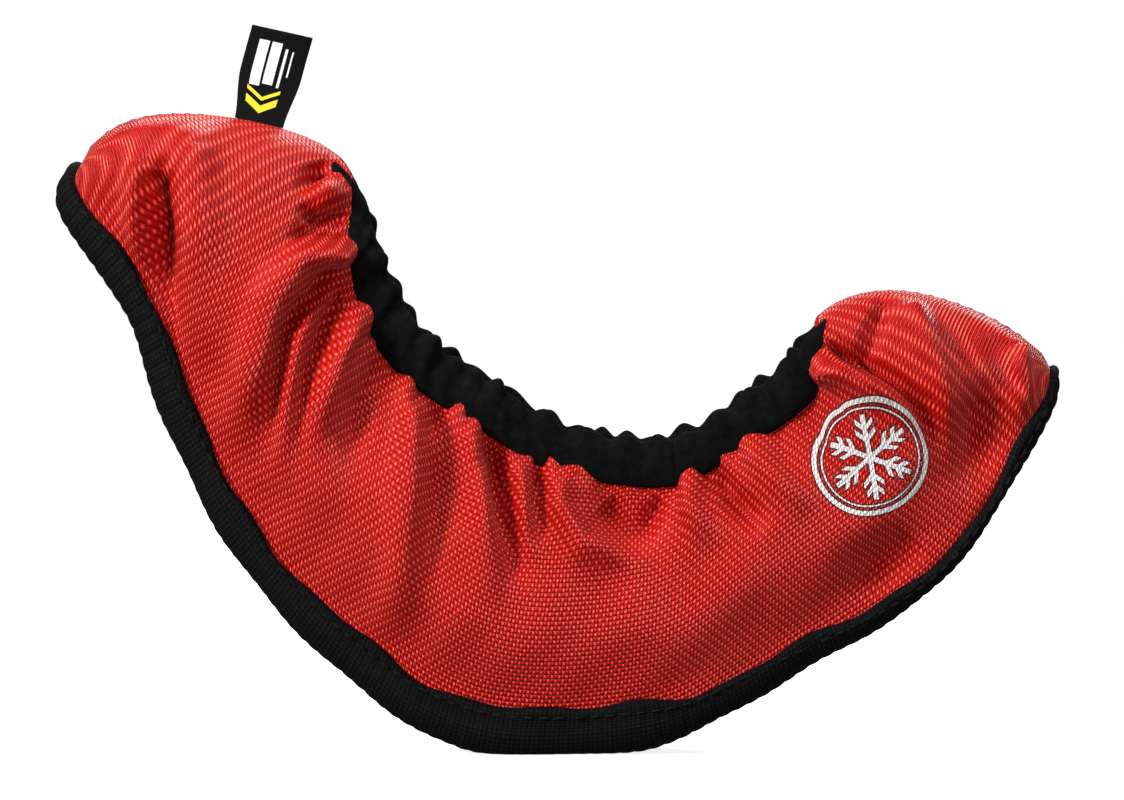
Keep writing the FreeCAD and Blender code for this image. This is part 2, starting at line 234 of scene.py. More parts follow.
def flank_end(s):
    """Outline parameter of the sole strip's upper edge."""
    radius = corner_radius(s)
    rise = FLANK(s) - PANEL_BASE
    low = 1.0 + np.arccos(np.clip(1.0 - rise / radius, -1, 1)) / (math.pi / 2)
    high = 2.0 + (rise - radius) / (WAIST_SHARE * (panel_top(s) - PANEL_BASE - radius))
    return np.where(rise < radius, low, high)


def running_length(steps):
    """Length from the start to each point of a line, from the lengths of its steps."""
    return np.concatenate([[0], np.cumsum(steps)])


def even_outline(s, last, count, offset=0.0):
    """(y, t) rows of count points, evenly spaced from the sole's middle to parameter last."""
    fine, nudge = 241, 0.02
    rows = []
    for value, end in zip(s, last):
        u = np.linspace(0, end, fine)
        y, t = outline(value, u)
        run = running_length(np.hypot(np.diff(y), np.diff(t)))
        even = np.interp(np.linspace(0, run[-1], count), run, u)
        y, t = outline(value, even)
        before = outline(value, np.clip(even - nudge, 0, TOP_EDGE))
        after = outline(value, np.clip(even + nudge, 0, TOP_EDGE))
        dy, dt = after[0] - before[0], after[1] - before[1]
        length = np.hypot(dy, dt)
        rows.append((y + offset * dt / length, t - offset * dy / length))
    y, t = np.array(rows).transpose(1, 0, 2)
    return y, t


def both_sides(s, y, t):
    """Grid of points from the left (+Y) top edge under the sole to the right (-Y) top edge."""
    right = place(s[:, None], -y, t)
    left = place(s[:, None], y, t)
    return np.concatenate([left[:, :0:-1], right], 1)


# ---------------------------------------------------------------- grids
def grid_normals(p, loop=False):
    """Unit normals of a grid of points; with loop set, its columns close on themselves."""
    along = np.gradient(p, axis=0)
    across = (np.roll(p, -1, 1) - np.roll(p, 1, 1)) / 2 if loop else np.gradient(p, axis=1)
    n = np.cross(along, across)
    return n / np.maximum(np.linalg.norm(n, axis=-1, keepdims=True), 1e-12)


def refine_once(p):
    """Doubles a grid's rows with four-point interpolation."""
    padded = np.concatenate([2 * p[:1] - p[1:2], p, 2 * p[-1:] - p[-2:-1]])
    middle = (9 * (padded[1:-2] + padded[2:-1]) - padded[:-3] - padded[3:]) / 16
    out = np.empty((2 * len(p) - 1,) + p.shape[1:])
    out[::2] = p
    out[1::2] = middle
    return out


def refine(p):
    """Doubles a grid's rows and columns."""
    return refine_once(refine_once(p).swapaxes(0, 1)).swapaxes(0, 1)


def blur(p, times):
    """Smooths a grid's inside, keeping its edges."""
    for _ in range(times):
        q = p.copy()
        q[1:-1, 1:-1] = (p[1:-1, 1:-1] * 4 + p[:-2, 1:-1] + p[2:, 1:-1] + p[1:-1, :-2] + p[1:-1, 2:]) / 8
        p = q
    return p


def grid_quads(rows, columns):
    """Point numbers of a grid, and its four-sided faces."""
    index = np.arange(rows * columns).reshape(rows, columns)
    corners = [index[:-1, :-1], index[1:, :-1], index[1:, 1:], index[:-1, 1:]]
    return index, np.stack(corners, -1).reshape(-1, 4)


def new_piece(name, verts, faces, material):
    """Smooth-shaded mesh object in the scene."""
    mesh = bpy.data.meshes.new(name)
    mesh.from_pydata(verts, [], faces)
    mesh.polygons.foreach_set("use_smooth", [True] * len(faces))
    mesh.materials.append(material)
    piece = bpy.data.objects.new(name, mesh)
    bpy.context.collection.objects.link(piece)
    return piece


def shell(name, outer, inner, material, maps, normals=None):
    """Closed sheet between two grids. maps is {name: (rows, columns, 2)} of texture coordinates.

    Without an inner grid, the outer one's columns close on themselves: a tube with end caps.
    normals are the outer grid's, given where it is one part of a larger grid.
    """
    index, quads = grid_quads(*outer.shape[:2])
    maps = {map_name: values.reshape(-1, 2) for map_name, values in maps.items()}
    if inner is None:
        right = np.roll(index, -1, 1)
        rounded = np.stack([index[:-1], index[1:], right[1:], right[:-1]], -1).reshape(-1, 4).tolist()
        flat = [index[0].tolist(), index[-1][::-1].tolist()]
        verts = outer.reshape(-1, 3)
        normals = grid_normals(outer, loop=True).reshape(-1, 3)
    else:
        ring = np.concatenate([index[0, :-1], index[:-1, -1], index[-1, :0:-1], index[:0:-1, 0]])
        following = np.roll(ring, -1)
        rounded = quads.tolist() + (quads[:, ::-1] + index.size).tolist()
        flat = np.stack([ring, following, following + index.size, ring + index.size], -1).tolist()
        verts = np.concatenate([outer.reshape(-1, 3), inner.reshape(-1, 3)])
        first = grid_normals(outer) if normals is None else normals
        second = -grid_normals(inner) if normals is None else -normals
        normals = np.concatenate([first.reshape(-1, 3), second.reshape(-1, 3)])
        maps = {map_name: np.concatenate([values, values]) for map_name, values in maps.items()}
    piece = new_piece(name, verts.tolist(), rounded + flat, material)
    mesh = piece.data
    corners = np.zeros(len(mesh.loops), np.int32)
    mesh.loops.foreach_get("vertex_index", corners)
    for map_name, values in maps.items():
        layer = mesh.uv_layers.new(name=map_name)
        layer.data.foreach_set("uv", values[corners].astype(np.float32).ravel())
    mesh.update()
    face_normals = np.zeros(len(mesh.polygons) * 3)
    mesh.polygons.foreach_get("normal", face_normals)
    totals = np.zeros(len(mesh.polygons), np.int32)
    mesh.polygons.foreach_get("loop_total", totals)
    owner = np.repeat(np.arange(len(mesh.polygons)), totals)
    on_face = face_normals.reshape(-1, 3)[owner]
    corner_normals = np.where((owner < len(rounded))[:, None], normals[corners], on_face)
    mesh.normals_split_custom_set(corner_normals.tolist())
    return piece


def join(name, parts):
    """One piece from several meshes that share their material slots."""
    with bpy.context.temp_override(active_object=parts[0], selected_editable_objects=parts):
        bpy.ops.object.join()
    parts[0].name = name
    parts[0].data.name = name
    return parts[0]


def hinge_frame(section):
    """Hinge point on the sole and the direction along the guard, square to the section plane."""
    pivot = place(section, 0.0, 0.0)
    up = place(section, 0.0, 1.0) - pivot
    up = up / np.linalg.norm(up)
    return pivot, np.array([up[2], 0.0, -up[0]])


def bend_piece(piece, span_row):
    """Finds its span's hinge, then only bakes the piece's transform; nothing bends."""
    _, _, _, hinge, before, after, reach_before, reach_after = span_row
    pivot, along = hinge_frame(hinge)
    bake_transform(piece)


# ---------------------------------------------------------------- materials
class Nodes:
    """Short ways to make shader nodes; every method returns a socket."""

    def __init__(self, name):
        self.material = bpy.data.materials.new(name)
        self.material.use_nodes = True
        self.tree = self.material.node_tree
        self.shader = self.tree.nodes["Principled BSDF"]

    def link(self, source, target):
        if isinstance(source, bpy.types.NodeSocket):
            self.tree.links.new(source, target)
        else:
            target.default_value = source

    def link_color(self, source, target):
        self.link(source if isinstance(source, bpy.types.NodeSocket) else (*source, 1), target)

    def math(self, operation, a, b=0.0, c=0.0):
        node = self.tree.nodes.new("ShaderNodeMath")
        node.operation = operation
        for value, socket in zip((a, b, c), node.inputs):
            self.link(value, socket)
        return node.outputs[0]

    def map(self, name):
        node = self.tree.nodes.new("ShaderNodeUVMap")
        node.uv_map = name
        split = self.tree.nodes.new("ShaderNodeSeparateXYZ")
        self.link(node.outputs[0], split.inputs[0])
        return split.outputs[0], split.outputs[1]

    def combine(self, x, y, z=0.0):
        node = self.tree.nodes.new("ShaderNodeCombineXYZ")
        for value, socket in zip((x, y, z), node.inputs):
            self.link(value, socket)
        return node.outputs[0]

    def position(self):
        return self.tree.nodes.new("ShaderNodeTexCoord").outputs["Object"]

    def within(self, value, centre, half):
        """1 where value is less than half away from centre."""
        away = self.math("ABSOLUTE", self.math("SUBTRACT", value, centre))
        return self.math("LESS_THAN", away, half)

    def noise(self, vector, scale, detail=2.0, roughness=0.5):
        node = self.tree.nodes.new("ShaderNodeTexNoise")
        self.link(vector, node.inputs["Vector"])
        node.inputs["Scale"].default_value = scale
        node.inputs["Detail"].default_value = detail
        node.inputs["Roughness"].default_value = roughness
        return node.outputs[0]

    def ramp(self, value, stops):
        node = self.tree.nodes.new("ShaderNodeValToRGB")
        self.link(value, node.inputs[0])
        elements = node.color_ramp.elements
        while len(elements) < len(stops):
            elements.new(0.5)
        for element, (place_at, color) in zip(elements, stops):
            element.position = place_at
            element.color = (*color, 1)
        return node.outputs[0]

    def mix(self, share, a, b):
        node = self.tree.nodes.new("ShaderNodeMix")
        node.data_type = "RGBA"
        self.link(share, node.inputs["Factor"])
        colors = [socket for socket in node.inputs if socket.type == "RGBA"]
        for value, socket in zip((a, b), colors):
            self.link_color(value, socket)
        return next(socket for socket in node.outputs if socket.type == "RGBA")

    def bump(self, height, distance, strength):
        node = self.tree.nodes.new("ShaderNodeBump")
        node.inputs["Strength"].default_value = strength
        node.inputs["Distance"].default_value = distance
        self.link(height, node.inputs["Height"])
        return node.outputs[0]

    def finish(self, color, normal, roughness, **constants):
        self.link_color(color, self.shader.inputs["Base Color"])
        if normal is not None:
            self.link(normal, self.shader.inputs["Normal"])
        self.link(roughness, self.shader.inputs["Roughness"])
        for name, value in constants.items():
            self.shader.inputs[name.replace("_", " ")].default_value = value
        return self.material


def weave_height(n, u, v):
    """Height of a plain weave and which yarn is on top, from coordinates in millimetres."""
    a = n.math("DIVIDE", u, YARN_ALONG)
    b = n.math("DIVIDE", v, YARN_UP)
    fa, fb = n.math("FRACT", a), n.math("FRACT", b)
    cell = n.math("ADD", n.math("FLOOR", a), n.math("FLOOR", b))
    over = n.math("ABSOLUTE", n.math("MODULO", cell, 2.0))
    hump_a = n.math("SINE", n.math("MULTIPLY", fa, math.pi))
    hump_b = n.math("SINE", n.math("MULTIPLY", fb, math.pi))
    roundness = 0.55
    round_a = n.math("POWER", hump_a, roundness)
    round_b = n.math("POWER", hump_b, roundness)
    along_v = n.math("MULTIPLY", round_a, n.math("MULTIPLY_ADD", hump_b, 0.75, 0.25))
    along_u = n.math("MULTIPLY", round_b, n.math("MULTIPLY_ADD", hump_a, 0.75, 0.25))
    picked = n.math("ADD", n.math("MULTIPLY", over, along_u),
                    n.math("MULTIPLY", n.math("SUBTRACT", 1.0, over), along_v))
    return picked, over


def emblem_mask(n, x, z, grow):
    """1 inside the strokes of a six-armed snow star in a double ring; grow widens every stroke."""
    dx = n.math("SUBTRACT", x, EMBLEM_CENTRE[0])
    dz = n.math("SUBTRACT", z, EMBLEM_CENTRE[1])
    r = n.math("SQRT", n.math("ADD", n.math("MULTIPLY", dx, dx), n.math("MULTIPLY", dz, dz)))
    angle = n.math("ADD", n.math("ARCTAN2", dz, dx), EMBLEM_TILT)
    folded = n.math("PINGPONG", angle, math.pi / 6)
    along = n.math("MULTIPLY", r, n.math("COSINE", folded))
    aside = n.math("MULTIPLY", r, n.math("SINE", folded))

    arm = n.within(aside, 0.0, 0.62 + grow)
    mask = n.math("MULTIPLY", arm, n.within(along, 0.0, EMBLEM_RADIUS * 0.76 + grow))
    barb = n.math("SUBTRACT", along, aside)
    for reach, length in ((0.30, 2.6), (0.50, 2.2)):
        stroke = n.within(barb, EMBLEM_RADIUS * reach, 0.7 + grow)
        mask = n.math("MAXIMUM", mask, n.math("MULTIPLY", stroke, n.within(aside, 0.0, length + grow)))
    for ring, half in ((1.0, 0.62), (0.87, 0.2)):
        mask = n.math("MAXIMUM", mask, n.within(r, EMBLEM_RADIUS * ring, half + grow))
    return mask


def panel_material(name, emblem):
    """Red ballistic nylon: rounded yarn crossings painted bright, up to a pale pink painted highlight, over
    gaps painted deep crimson as painted shade.
    """
    n = Nodes(name)
    u, v = n.map("weave")
    drift = n.noise(n.position(), 60.0, 1.0)
    u = n.math("MULTIPLY_ADD", n.math("SUBTRACT", drift, 0.5), 0.8, u)
    height, over = weave_height(n, u, v)
    fibres = n.noise(n.combine(u, v), 9.0, 2.0)
    cloud = n.noise(n.position(), 35.0, 2.0)
    # Painted light: the tone rises with the weave's height, so raised yarns are painted lighter and the gaps
    # darker; the yarns that run along the guard are painted brighter still, as if lit from above.
    tone = n.math("ADD", n.math("MULTIPLY", height, n.math("MULTIPLY_ADD", over, 0.48, 0.42)),
                  n.math("MULTIPLY", n.math("SUBTRACT", fibres, 0.5), 0.34))
    color = n.ramp(tone, [(0.05, (0.17, 0.0003, 0.0002)), (0.38, (0.45, 0.003, 0.0015)),
                          (0.70, (0.76, 0.020, 0.011)), (0.97, (1.0, 0.21, 0.14))])
    color = n.mix(n.math("MULTIPLY", cloud, 0.20), color, (0.45, 0.005, 0.003))
    if emblem:
        x, z = n.map("plan")
        cover = n.math("MULTIPLY_ADD", height, 0.45, 0.55)
        for grow, ink in ((0.42, (0.015, 0.012, 0.012)), (0.0, (0.86, 0.84, 0.83))):
            color = n.mix(n.math("MULTIPLY", emblem_mask(n, x, z, grow), cover), color, ink)
    bumps = n.math("MULTIPLY_ADD", fibres, 0.12, height)
    normal = n.bump(bumps, 0.00042, 1.0)
    rough = n.math("MULTIPLY_ADD", fibres, 0.16, 0.30)
    return n.finish(color, normal, rough,
                    Specular_IOR_Level=0.32, Specular_Tint=(1.0, 0.72, 0.68, 1.0),
                    Sheen_Weight=0.09, Sheen_Roughness=0.35, Sheen_Tint=(1.0, 0.42, 0.38, 1.0))


def webbing_material():
    """Black ribbed webbing: fine cross yarns over the modelled ribs."""
    n = Nodes("sole_webbing")
    u, v = n.map("weave")
    across = n.math("SINE", n.math("MULTIPLY", v, 2 * math.pi / 0.85))
    along = n.math("SINE", n.math("MULTIPLY", u, 2 * math.pi / 1.3))
    fibres = n.noise(n.combine(u, n.math("MULTIPLY", v, 0.35)), 2.6, 3.0, 0.6)
    height = n.math("ADD", n.math("MULTIPLY_ADD", across, 0.14, n.math("MULTIPLY", along, 0.16)), fibres)
    specks = n.math("GREATER_THAN", n.noise(n.combine(u, v), 1.7, 2.0, 0.7), 0.70)
    # Painted light: the crests of ribs and yarns are painted lighter and the hollows between them darker, as
    # painted highlights and painted shade.
    color = n.ramp(height, [(0.25, (0.0020, 0.0020, 0.0022)), (0.65, (0.0045, 0.0045, 0.0050)),
                            (1.0, (0.013, 0.0135, 0.0145))])
    color = n.mix(n.math("MULTIPLY", specks, 0.35), color, (0.055, 0.058, 0.062))
    normal = n.bump(height, 0.0003, 0.9)
    return n.finish(color, normal, 0.75, Specular_IOR_Level=0.05)


def fleece_material():
    """Black brushed fleece: soft pile, its crests painted a faint pale as a painted sheen."""
    n = Nodes("cuff_fleece")
    pile = n.noise(n.position(), 1500.0, 3.0, 0.65)
    tufts = n.noise(n.position(), 420.0, 2.0, 0.5)
    height = n.math("MULTIPLY_ADD", pile, 0.5, tufts)
    # Painted sheen: the colour follows the pile's height, lighter on the crests and darker between them.
    color = n.ramp(n.math("MULTIPLY_ADD", tufts, 0.6, n.math("MULTIPLY", pile, 0.4)),
                   [(0.3, (0.0018, 0.0018, 0.002)), (0.62, (0.0045, 0.0045, 0.005)),
                    (0.9, (0.011, 0.011, 0.0115))])
    normal = n.bump(height, 0.0005, 0.8)
    return n.finish(color, normal, 0.9, Specular_IOR_Level=0.03, Sheen_Weight=0.006, Sheen_Roughness=0.5)


def terry_material():
    """Dark grey looped terry of the lining."""
    n = Nodes("lining_terry")
    loops = n.tree.nodes.new("ShaderNodeTexVoronoi")
    n.link(n.position(), loops.inputs["Vector"])
    loops.inputs["Scale"].default_value = 900.0
    height = n.math("SUBTRACT", 1.0, loops.outputs["Distance"])
    # Painted light: the loops' tops are painted lighter and the hollows between them darker, as painted
    # highlights and painted shade.
    color = n.ramp(height, [(0.2, (0.010, 0.010, 0.011)), (0.9, (0.055, 0.055, 0.058))])
    normal = n.bump(height, 0.0006, 0.9)
    return n.finish(color, normal, 0.95, Specular_IOR_Level=0.15, Sheen_Weight=0.3, Sheen_Roughness=0.6)


def elastic_material():
    """White knitted elastic with lengthwise cords."""
    n = Nodes("elastic")
    u, v = n.map("weave")
    cords = n.math("ABSOLUTE", n.math("SINE", n.math("MULTIPLY", v, math.pi / 1.1)))
    knit = n.math("ABSOLUTE", n.math("SINE", n.math("MULTIPLY", u, math.pi / 0.8)))
    height = n.math("MULTIPLY_ADD", knit, 0.4, cords)
    # Painted shade: the grooves between cords and knit are painted darker grey than the white crests.
    color = n.ramp(height, [(0.2, (0.30, 0.29, 0.27)), (1.0, (0.72, 0.71, 0.67))])
    return n.finish(color, n.bump(height, 0.0002, 0.8), 0.7)


def thread_material(name, dark, light):
    """Twisted thread between a dark and a light tone."""
    n = Nodes(name)
    twist = n.noise(n.position(), 2600.0, 1.0)
    color = n.ramp(twist, [(0.3, dark), (0.8, light)])
    return n.finish(color, n.bump(twist, 0.0001, 0.8), 0.6, Specular_IOR_Level=0.08)


def label_material():
    """Black satin tape with woven white bars and two yellow chevrons on each face."""
    n = Nodes("label_tape")
    u, v = n.map("weave")
    warp = n.math("SINE", n.math("MULTIPLY", u, 2 * math.pi / 0.30))
    weft = n.math("SINE", n.math("MULTIPLY", v, 2 * math.pi / 0.42))
    height = n.math("MULTIPLY_ADD", warp, 0.5, n.math("MULTIPLY", weft, 0.5))
    # Painted light: the raised yarns of the black tape are painted a shade lighter than the hollows between
    # them.
    base = n.ramp(height, [(0.0, (0.002, 0.002, 0.0025)), (1.0, (0.008, 0.008, 0.009))])
    bars = 0.0
    for centre, half, middle, length in ((-3.7, 1.35, 15.6, 6.0), (-0.3, 1.35, 16.0, 5.6),
                                         (2.5, 0.35, 15.2, 5.2), (4.2, 0.22, 16.6, 3.4)):
        bar = n.math("MULTIPLY", n.within(u, centre, half), n.within(v, middle, length))
        bars = n.math("MAXIMUM", bars, bar)
    fold = n.math("ABSOLUTE", n.math("ADD", u, 0.8))
    chevron_at = n.math("SUBTRACT", v, n.math("MULTIPLY", fold, 0.55))
    chevrons = n.math("MAXIMUM", n.within(chevron_at, 3.6, 1.0), n.within(chevron_at, 6.4, 0.5))
    yellow = n.math("MULTIPLY", chevrons, n.math("LESS_THAN", fold, 4.6))
    color = n.mix(bars, base, (0.80, 0.80, 0.78))
    color = n.mix(yellow, color, (0.80, 0.60, 0.03))
    return n.finish(color, n.bump(height, 0.00006, 0.7), 0.55, Specular_IOR_Level=0.05)


# ---------------------------------------------------------------- camera, lights and stage
def make_camera():
    """Long lens square to the guard's right side, a little above level."""
    target = Vector((0.0008, 0.0, 0.0915))
    distance, elevation, width_seen, sensor = 1.6, math.radians(2.5), 0.2922, 36.0
    data = bpy.data.cameras.new("camera")
    data.sensor_width = sensor
    data.lens = sensor * distance / width_seen
    camera = bpy.data.objects.new("camera", data)
    bpy.context.collection.objects.link(camera)
    camera.location = target + Vector((0, -math.cos(elevation), math.sin(elevation))) * distance
    camera.rotation_euler = (math.pi / 2 - elevation, 0, 0)
    bpy.context.scene.camera = camera


def area_light(name, location, target, size, power):
    data = bpy.data.lights.new(name, "AREA")
    data.shape = "RECTANGLE"
    data.size, data.size_y = size
    data.energy = power
    light = bpy.data.objects.new(name, data)
    bpy.context.collection.objects.link(light)
    light.location = location
    light.rotation_euler = (Vector(target) - Vector(location)).to_track_quat("-Z", "Y").to_euler()


def make_stage():
    """Round pale floor that curves up into a wall, the same from every side.

    Only the camera sees it: it sends no light back to the guard.
    """
    flat, bend, top, sides = 3.6, 1.2, 3.0, 96
    curve = [(flat + bend * math.sin(a), bend * (1 - math.cos(a))) for a in np.linspace(0, math.pi / 2, 12)]
    profile = [(1.5, 0.0), (3.0, 0.0)] + curve + [(flat + bend, top)]
    angles = [2 * math.pi * k / sides for k in range(sides)]
    verts = [(0.0, 0.0, 0.0)] + [(radius * math.cos(angle), radius * math.sin(angle), height)
                                 for radius, height in profile for angle in angles]
    faces = []
    for k in range(sides):
        following = (k + 1) % sides
        faces.append((0, 1 + k, 1 + following))
        for ring in range(len(profile) - 1):
            base = 1 + ring * sides
            faces.append((base + k, base + sides + k, base + sides + following, base + following))
    n = Nodes("studio_floor")
    white = n.finish((0.80, 0.80, 0.80), None, 0.9, Specular_IOR_Level=0.1,
                     Emission_Color=(1, 1, 1, 1), Emission_Strength=0.82)
    floor = new_piece("studio_floor", verts, faces, white)
    floor.visible_diffuse = False
    floor.visible_glossy = False


def make_light():
    """Raking light from the upper left, a broad one from above, a front fill and a rim from behind."""
    world = bpy.data.worlds.new("studio")
    world.use_nodes = True
    background = world.node_tree.nodes["Background"]
    background.inputs["Color"].default_value = (1, 1, 1, 1)
    background.inputs["Strength"].default_value = 0.20
    bpy.context.scene.world = world
    area_light("key_left", (-1.00, -0.80, 0.60), (0, 0, 0.08), (0.35, 0.35), 25.0)
    area_light("top", (0.05, -0.25, 1.20), (0, 0, 0.09), (0.8, 0.5), 13.0)
    area_light("front_fill", (0.5, -1.5, 0.15), (0, 0, 0.07), (0.5, 0.4), 10.0)
    area_light("back_rim", (0.3, 1.0, 0.9), (0, 0, 0.09), (0.6, 0.4), 9.0)
    bpy.context.scene.view_settings.view_transform = "Standard"


# ---------------------------------------------------------------- folds of the side panels
# Folds in the side view, millimetres: points along the fold from the mouth towards the sole,
# half width, and height (a groove is negative).
FOLDS = [
    ([(-102.4, 152.0), (-102.2, 126.0), (-101.7, 98.0)], 3.6, -2.8),
    ([(-108.5, 153.0), (-108.0, 128.0), (-105.0, 106.0)], 3.6, 1.8),
    ([(-93.0, 158.0), (-92.0, 128.0), (-93.0, 95.0)], 6.0, 1.8),
    ([(-54.0, 154.5), (-62.5, 150.5), (-68.0, 144.0)], 1.9, -2.2),
    ([(-55.0, 138.5), (-62.0, 139.0), (-68.0, 142.5)], 1.7, -2.4),
    ([(-53.0, 146.0), (-60.0, 146.0), (-66.0, 143.5)], 2.6, 1.8),
    ([(-50.4, 131.0), (-67.3, 129.2), (-74.5, 117.5), (-81.6, 74.0)], 4.2, 3.6),
    ([(-52.0, 134.8), (-66.0, 134.5), (-78.0, 125.0)], 2.2, -1.6),
    ([(-58.0, 126.0), (-70.5, 110.0), (-77.2, 70.0)], 2.8, -3.0),
    ([(-62.0, 121.5), (-67.8, 108.0), (-72.5, 72.0)], 2.5, 2.0),
    ([(-56.0, 119.5), (-64.5, 100.0), (-69.0, 70.0)], 2.4, -2.0),
    ([(-50.4, 117.5), (-58.0, 102.0), (-66.0, 76.0)], 3.4, 2.6),
    ([(-45.0, 108.0), (-51.0, 92.0), (-54.0, 66.0)], 3.0, -1.7),
    ([(-38.5, 98.0), (-39.0, 66.0), (-42.0, 26.0)], 3.8, 3.0),
    ([(-31.0, 93.0), (-32.0, 68.0), (-35.0, 38.0)], 3.2, -1.9),
    ([(-23.1, 86.0), (-20.0, 64.0), (-15.3, 38.0)], 3.6, 2.6),
    ([(-17.0, 82.0), (-14.0, 62.0), (-9.5, 40.0)], 2.8, -3.1),
    ([(-11.6, 80.0), (-10.4, 66.0), (-7.5, 48.0)], 2.5, 2.2),
    ([(-5.2, 76.0), (-5.7, 66.0), (-5.0, 53.0)], 1.9, -2.3),
    ([(-0.5, 77.5), (-0.3, 63.4), (6.0, 54.3), (26.3, 49.9)], 3.2, 2.7),
    ([(12.0, 66.0), (19.0, 60.5), (26.0, 58.0)], 5.5, -2.2),
    ([(28.6, 74.0), (25.0, 64.0), (20.0, 54.0)], 2.4, -2.2),
    ([(33.0, 76.0), (34.0, 64.0), (40.0, 52.0)], 3.4, 2.2),
    ([(38.0, 76.0), (44.0, 67.0), (55.0, 58.0)], 2.9, -3.0),
    ([(47.0, 83.0), (54.0, 74.0), (66.0, 62.0)], 3.6, 1.9),
    ([(62.0, 100.5), (74.0, 99.0), (87.0, 92.5), (97.0, 82.0)], 3.4, 3.0),
    ([(70.0, 105.5), (82.0, 99.5), (93.0, 91.0), (101.0, 74.0)], 2.2, -3.2),
    ([(84.8, 119.0), (80.0, 107.0), (76.0, 93.0)], 2.5, -1.8),
    ([(90.0, 117.0), (97.0, 101.0), (102.0, 80.0)], 4.0, 2.0),
    ([(119.0, 106.0), (119.5, 96.0), (119.0, 84.0)], 3.0, 1.5),
    ([(108.0, 92.0), (109.0, 78.0), (106.0, 64.0)], 6.0, -1.6),
    ([(92.0, 56.0), (84.0, 48.0), (74.0, 42.0)], 6.0, -1.4),
]
GATHER_PITCH = 8.2           # one scallop of the cuff
FOLD_STRENGTH = 2.9          # factor on every height above
FOLD_FOOT = 6.0              # folds fade out over this height above the sole strip
FAR_WAVE, FAR_DROP = 7.0, 1.5  # the left side has the same folds, moved along by a wave and down
FAR_WIDTH, FAR_HEIGHT = 1.1, 0.9  # and with these factors on width and height
TIP_FADE = 1.2               # sections over which the folds fade in from each tip
CRUMPLE_GROWTH = 0.06        # how much too large the cloth is cut, as a share of its length
CRUMPLE_STIFFNESS = 2.5
CRUMPLE_LIMIT = 3.5          # how far the simulation may move a point
CRUMPLE_SCALE = 10.0         # size of the simulated sheet against the real one
CRUMPLE_FRAMES = 22
EDGE_IN, EDGE_OUT = 1.3, 4.5  # how far the panels' upper edge may leave the cuff, inwards and outwards
EDGE_DIP = -1.0              # lowest that this edge may sink
WIDTH_KNEE = 19.0            # the folds' half width is eased beyond this,
WIDTH_EASE = 7.5             # and grows by no more than this
LINING_EDGE_DEPTH = 0.3      # the lining's depth inside the smooth panel at its top edge
LINING_GAP = 1.2             # its depth behind the panel's folds at the top edge,
LINING_TUCK = 1.4            # and how much more further down


def fold_height(x, z, folds):
    """Sum of the folds at side-view points, in millimetres."""
    total = np.zeros_like(x)
    for points, width, height in folds:
        height = height * FOLD_STRENGTH
        points = np.array(points)
        steps = np.hypot(*np.diff(points, axis=0).T)
        starts = running_length(steps)
        best = np.full_like(x, 1e9)
        share = np.zeros_like(x)
        for start, direction, length, before in zip(points[:-1], np.diff(points, axis=0), steps, starts):
            a = np.clip(((x - start[0]) * direction[0] + (z - start[1]) * direction[1]) / length ** 2, 0, 1)
            distance = np.hypot(x - start[0] - a * direction[0], z - start[1] - a * direction[1])
            closer = distance < best
            share = np.where(closer, (before + a * length) / starts[-1], share)
            best = np.where(closer, distance, best)
        taper = smooth(share / 0.10 + 0.45) * smooth((1 - share) / 0.5)
        spread = width * (0.8 + 0.6 * share)
        total += height * taper * np.exp(-(best / spread) ** 2)
    return total


def arc_along(x_of, z_of):
    """Function that gives the length along a line from the heel corner to section s, in millimetres."""
    fine = np.linspace(0, LAST, 1501)
    run = running_length(np.hypot(np.diff(x_of(fine)), np.diff(z_of(fine))))
    return lambda s: np.interp(s, fine, run)


mouth_arc = arc_along(TOP_X, TOP_Z)
sole_arc = arc_along(SOLE_X, SOLE_Z)


def scallop_phase(arc, side):
    """Slowly warped phase of the gathers; one unit is one scallop."""
    return (arc / GATHER_PITCH + 0.32 * np.sin(arc / 17.0 + 1.3 * side)
            + 0.22 * np.sin(arc / 7.9 + 2.1 + side) + 0.4 * side)


def crumpled_shift(surface, held):
    """Displacement of a grid of cloth that is cut too large for its held edges, by Cloth simulation.

    held is 1 where the cloth is sewn down and 0 where it is free. Every second row and column is
    simulated, enlarged to a size where the solver is stable.
    """
    coarse = surface[::2, ::2]
    _, quads = grid_quads(*coarse.shape[:2])
    mesh = bpy.data.meshes.new("crumple")
    mesh.from_pydata((coarse.reshape(-1, 3) * CRUMPLE_SCALE).tolist(), [], quads.tolist())
    cloth = bpy.data.objects.new("crumple", mesh)
    bpy.context.collection.objects.link(cloth)
    group = cloth.vertex_groups.new(name="held")
    for number, weight in enumerate(held[::2, ::2].ravel()):
        group.add([number], float(weight), "REPLACE")
    modifier = cloth.modifiers.new("cloth", "CLOTH")
    settings = modifier.settings
    settings.quality = 6
    settings.mass = 0.3
    settings.tension_stiffness = settings.compression_stiffness = 18.0
    settings.shear_stiffness = 6.0
    settings.bending_stiffness = CRUMPLE_STIFFNESS
    settings.air_damping = 3.0
    settings.vertex_group_mass = "held"
    settings.shrink_min = -CRUMPLE_GROWTH
    settings.effector_weights.gravity = 0.0
    modifier.collision_settings.use_collision = False
    modifier.point_cache.frame_start = 1
    modifier.point_cache.frame_end = CRUMPLE_FRAMES + 2
    for number in range(1, CRUMPLE_FRAMES + 1):
        bpy.context.scene.frame_set(number)
    evaluated = cloth.evaluated_get(bpy.context.evaluated_depsgraph_get()).to_mesh()
    moved = np.zeros(len(mesh.vertices) * 3)
    evaluated.vertices.foreach_get("co", moved)
    bpy.context.scene.frame_set(1)
    bpy.data.objects.remove(cloth)
    shift = moved.reshape(coarse.shape) / CRUMPLE_SCALE - coarse
    length = np.linalg.norm(shift, axis=-1, keepdims=True)
    limit = CRUMPLE_LIMIT * MM
    shift = shift * (limit * np.tanh(length / limit) / np.maximum(length, 1e-9))
    return refine(blur(shift, 4))


